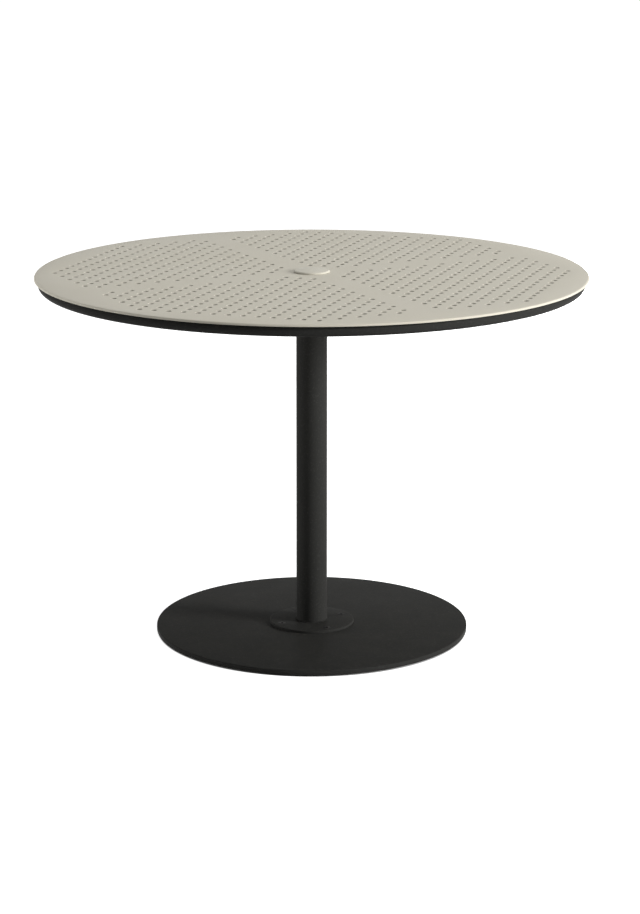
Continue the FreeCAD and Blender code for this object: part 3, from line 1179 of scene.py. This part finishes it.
        step = self.arm_width / self.lower_ripples
        work = Workpiece("arm_welds")
        for side in (-half, half):
            for number in range(self.side_ripples):
                rise = low + number * self.arm_bead_step
                model_ripple(work, (inner_face(half, rise), side, self.ring_level + rise), self.arm_bead)
        for number in range(self.lower_ripples):
            y = -half + (number + 0.5) * step
            model_ripple(work, (inner_face(y, low), y, self.arm_bottom), self.arm_bead)
        return copies_round(work.obj, ALL_SMOOTH)

    def build_plate_weld(self) -> Piece:
        """Lay a weld bead between the column and the arm plate's underside."""
        return weld_ring("plate_weld", self.sleeve_radius + self.plate_bead_out,
                         self.plate_bottom - self.plate_bead_drop, self.plate_bead, self.plate_ripples)

    def dress(self, dresser: Dresser) -> None:
        """Build the ring, the arms and the rest, and give them their finishes."""
        ring = self.build_ring()
        for number, arm in enumerate(self.build_arms(ring), 1):
            dresser.dress(arm, Finish.DARK_COAT, f"support_arm_{number}")
        dresser.dress(ring, Finish.DARK_COAT, "apron_ring")
        dresser.dress(self.build_arm_welds(), Finish.DARK_COAT)
        dresser.dress(self.build_sleeve(), Finish.DARK_COAT, "hub_sleeve")
        dresser.dress(self.build_plate(), Finish.DARK_COAT, "arm_plate")
        dresser.dress(self.build_plate_weld(), Finish.DARK_COAT)
        dresser.dress(self.build_screws(), Finish.ZINC, "arm_bolts")
        dresser.dress(self.build_screw_washers(), Finish.ZINC, "arm_washers")
        dresser.dress(self.build_stud_washers(), Finish.ZINC, "stud_washers")
        dresser.dress(self.build_stud_nuts(), Finish.ZINC, "stud_nuts")
        dresser.dress(self.build_studs(), Finish.ZINC, "top_studs")


@dataclass
class Pedestal:
    """The column with its foot flange, foot screws and the pole guide in its top."""

    radius: float = 0.03015
    wall: float = 0.00305
    foot: float = 0.0125
    top: float = 0.68965
    column_sides: int = 96
    flange_radius: float = 0.0825
    flange_top: float = 0.0175
    flange_edge: float = 0.0015
    flange_sides: int = 128
    gap: float = 0.0001
    guide_bore: float = 0.02065
    guide_length: float = 0.038
    guide_lead: float = 0.002
    guide_gap: float = 0.00005
    guide_sides: int = 64
    screw_circle: float = 0.065
    screw_radius: float = 0.004
    screw_sides: int = 40
    cut_over: float = 0.001
    head_radius: float = 0.008
    socket_width: float = 0.005
    socket_depth: float = 0.0025
    bead: float = 0.0016
    bead_out: float = 0.0006
    bead_rise: float = 0.0003
    ripples: int = 84

    def build_column(self) -> Piece:
        """Turn the column tube."""
        section = tube(self.radius, self.radius - self.wall, self.foot, self.top)
        return turned("column_tube", section, self.column_sides)

    def turn_screw(self, name: str, gap: float = 0.0, over: float = 0.0) -> Workpiece:
        """Turn a countersunk foot screw, or the body that cuts its hole.

        Args:
            name: the piece's name.
            gap: how much larger than the screw it is.
            over: how far it goes on past the flange's two faces.

        Returns:
            The turned body, open for editing.
        """
        neck = self.flange_top - (self.head_radius - self.screw_radius)
        work = Workpiece(name, (self.screw_circle, 0))
        work.turn([(self.screw_radius + gap, self.foot - over), (self.screw_radius + gap, neck),
                   (self.head_radius + gap + over, self.flange_top + over)], self.screw_sides)
        return work

    def build_flange(self) -> Piece:
        """Turn the foot flange as an eased ring round the column, and countersink it for its screws."""
        section = tube(self.flange_radius, self.radius + self.gap, self.foot, self.flange_top)
        flange = turned("foot_flange_disc", section, self.flange_sides, (self.flange_edge, 4, section[1:2]))
        carve(flange, copies_round(self.turn_screw("foot_screw_holes", self.gap, self.cut_over).obj))
        return flange

    def build_screws(self) -> Piece:
        """Model one countersunk socket screw and copy it round the flange."""
        work = self.turn_screw("foot_screw_set")
        work.ease(SMALL_EASE, 2, [(self.head_radius, self.flange_top)])
        socket = Workpiece("foot_screw_socket")
        bpy.ops.mesh.primitive_cylinder_add(vertices=6, radius=self.socket_width / math.sqrt(3),
                                            depth=self.socket_depth * 2,
                                            location=(self.screw_circle, 0, self.flange_top))
        carve(work.obj, socket.obj)
        return copies_round(work.obj)

    def build_foot_weld(self) -> Piece:
        """Lay a small weld bead between the column and its flange."""
        return weld_ring("foot_weld", self.radius + self.bead_out, self.flange_top + self.bead_rise,
                         self.bead, self.ripples)

    def build_guide(self) -> Piece:
        """Turn the nylon pole guide with its lead-in."""
        outside = self.radius - self.wall - self.guide_gap
        low = self.top - self.guide_length
        section = [(outside, low), (outside, self.top), (self.guide_bore + self.guide_lead, self.top),
                   (self.guide_bore, self.top - self.guide_lead), (self.guide_bore, low)]
        return turned("pole_guide_bush", section, self.guide_sides, smooth_under=30)

    def dress(self, dresser: Dresser) -> None:
        """Build the column and what it carries, and give them their finishes."""
        dresser.dress(self.build_column(), Finish.DARK_COAT, "column")
        dresser.dress(self.build_flange(), Finish.DARK_COAT, "foot_flange")
        dresser.dress(self.build_guide(), Finish.NYLON, "pole_guide")
        dresser.dress(self.build_foot_weld(), Finish.DARK_COAT)
        dresser.dress(self.build_screws(), Finish.BLACK_STEEL, "foot_bolts")


@dataclass
class RoundBase:
    """The flat base plate and its four glides."""

    radius: float = 0.3048
    bottom: float = 0.003
    top: float = 0.0125
    edge: float = 0.0015
    lower_edge: float = 0.0006
    sides: int = 192
    glide_radius: float = 0.014
    glide_edge: float = 0.001
    glide_sides: int = 48
    glide_circle: float = 0.26
    glide_angle: float = 45

    def build_plate(self) -> Piece:
        """Turn the plate with an eased upper edge and a small lower one."""
        low, high = (self.radius, self.bottom), (self.radius, self.top)
        return turned("base_disc", [low, high], self.sides, (self.edge, 4, [high]),
                      (self.lower_edge, 2, [low]), closed=False)

    def build_glides(self) -> list[Piece]:
        """Turn one glide and copy it to the other three places."""
        angle = math.radians(self.glide_angle)
        centre = (self.glide_circle * math.cos(angle), self.glide_circle * math.sin(angle))
        sole = (self.glide_radius, 0.0)
        first = turned("glide_pad_1", [sole, (self.glide_radius, self.bottom)], self.glide_sides,
                       (self.glide_edge, 3, [sole]), closed=False, centre=centre)
        return four_of(first, "glide_pad")

    def dress(self, dresser: Dresser) -> None:
        """Build the plate and the glides and give them their finishes."""
        dresser.dress(self.build_plate(), Finish.DARK_COAT, "base_plate")
        for number, glide in enumerate(self.build_glides(), 1):
            dresser.dress(glide, Finish.NYLON, f"glide_{number}")


@dataclass(frozen=True)
class Softbox:
    """A square lamp that looks at the table's middle and leaves no mirrored glare on it.

    Its place is how far it lies to the camera's right, toward the camera, and up from the floor.
    """

    name: str
    place: Place
    size: float
    power: float
    aim: Place = (0, 0, 0.4)

    def hang(self, turn: float) -> None:
        """Hang the lamp.

        Args:
            turn: how far round the table the camera stands, in radians.
        """
        right, near, up = self.place
        spot = Vector((right * math.cos(turn) - near * math.sin(turn),
                       -right * math.sin(turn) - near * math.cos(turn), up))
        look = (Vector(self.aim) - spot).to_track_quat("-Z", "Y").to_euler()
        bpy.ops.object.light_add(type="AREA", location=spot, rotation=look)
        lamp = bpy.context.object
        lamp.name = self.name
        lamp.data.shape = "SQUARE"
        lamp.data.size = self.size
        lamp.data.energy = self.power
        lamp.visible_glossy = False


@dataclass(frozen=True)
class Studio:
    """The floor, the light and the photograph's camera."""

    distance: float = 4.9178
    height: float = 1.5637
    pitch: float = 9.48
    azimuth: float = 26.54
    lens: float = 101.91
    sensor: float = 36
    shift_x: float = 0.0091
    shift_y: float = -0.22
    far_clip: float = 200
    ambient: float = 0.18
    floor_size: float = 60
    floor_paper: float = 0.8
    floor_lift: float = 0.9
    # the floor's glow fades out across base_fade inside the base plate's edge: painted contact shade under
    # the plate
    base_radius: float = 0.3048
    base_fade: float = 0.003
    softboxes: tuple[Softbox, ...] = (
        Softbox("key_softbox", (7.45, 2.42, 2.42), 2.2, 1015.0),
        Softbox("overhead_softbox", (0, 0, 3.2), 1.5, 25.0),
        Softbox("edge_softbox", (-4.4, -0.8, 0.38), 0.6, 115.0),
        Softbox("rear_softbox", (1.5, -4.2, 0.38), 0.6, 100.0),
    )

    def build_camera(self) -> None:
        """Stand the camera where the photograph was taken from."""
        turn = math.radians(self.azimuth)
        place = (-self.distance * math.sin(turn), -self.distance * math.cos(turn), self.height)
        bpy.ops.object.camera_add(location=place, rotation=(math.radians(90 - self.pitch), 0, -turn))
        camera = bpy.context.object
        camera.name = "photo_camera"
        camera.data.lens = self.lens
        camera.data.sensor_width = self.sensor
        camera.data.shift_x = self.shift_x
        camera.data.shift_y = self.shift_y
        camera.data.clip_end = self.far_clip
        bpy.context.scene.camera = camera

    def build_floor(self) -> None:
        """Lay a pale floor that looks white apart from the shadow on it, with painted contact shade under the
        base plate, and that is clear from below.
        """
        bpy.ops.mesh.primitive_plane_add(size=self.floor_size, location=(0, 0, 0))
        floor = bpy.context.object
        floor.name = "studio_floor"
        skin = Skin("studio_floor_paper")
        sheet = skin.sheet
        # no glow under the base plate: painted contact shade there, on top of its real shadow
        lift = sheet.steps(sheet.from_axis(skin.place), self.base_radius - self.base_fade, self.base_radius,
                           0, self.floor_lift)
        glow = sheet.add("Emission", {"Color": WHITE, "Strength": sheet.times(sheet.seen_white(), lift)})
        paper = sheet.add("BsdfDiffuse", {"Color": (*[self.floor_paper] * 3, 1)})
        both = sheet.add("AddShader", {0: paper.outputs[0], 1: glow.outputs[0]})
        behind = sheet.add("NewGeometry").outputs["Backfacing"]
        clear = sheet.add("BsdfTransparent").outputs[0]
        one_way = sheet.add("MixShader", {0: behind, 1: both.outputs[0], 2: clear})
        floor.data.materials.append(skin.output(one_way.outputs[0]))

    def build_world(self) -> None:
        """Fill the room with even light, seen as white."""
        world = bpy.data.worlds.new("studio_room")
        bpy.context.scene.world = world
        world.use_nodes = True
        sheet = NodeSheet(world.node_tree)
        strength = sheet.plus(self.ambient, sheet.times(sheet.seen_white(), 1.0 - self.ambient))
        sky = sheet.add("Background", {"Color": WHITE, "Strength": strength})
        sheet.add("OutputWorld", {"Surface": sky.outputs[0]})

    def build(self) -> None:
        """Set up the whole studio."""
        leave_edit_mode()
        bpy.ops.object.select_all(action="DESELECT")
        bpy.context.scene.view_settings.view_transform = "Standard"
        self.build_camera()
        self.build_floor()
        self.build_world()
        for softbox in self.softboxes:
            softbox.hang(math.radians(self.azimuth))


def main() -> None:
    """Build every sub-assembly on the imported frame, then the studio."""
    logging.basicConfig(level=logging.INFO, format="%(message)s")
    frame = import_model()
    dresser = Dresser()
    slots = {row["node"]: row["material_slot"] for row in frame["record"]["subparts"]}
    by_slot = {finish.value.slot: finish for finish in Finish}
    for name, node in frame["nodes"].items():
        dresser.paint(node, by_slot[slots[name]])
    for assembly in (SheetTop(), HoleCap(), UnderFrame(), Pedestal(), RoundBase()):
        assembly.dress(dresser)
    Studio().build()


if __name__ == "__main__":
    main()
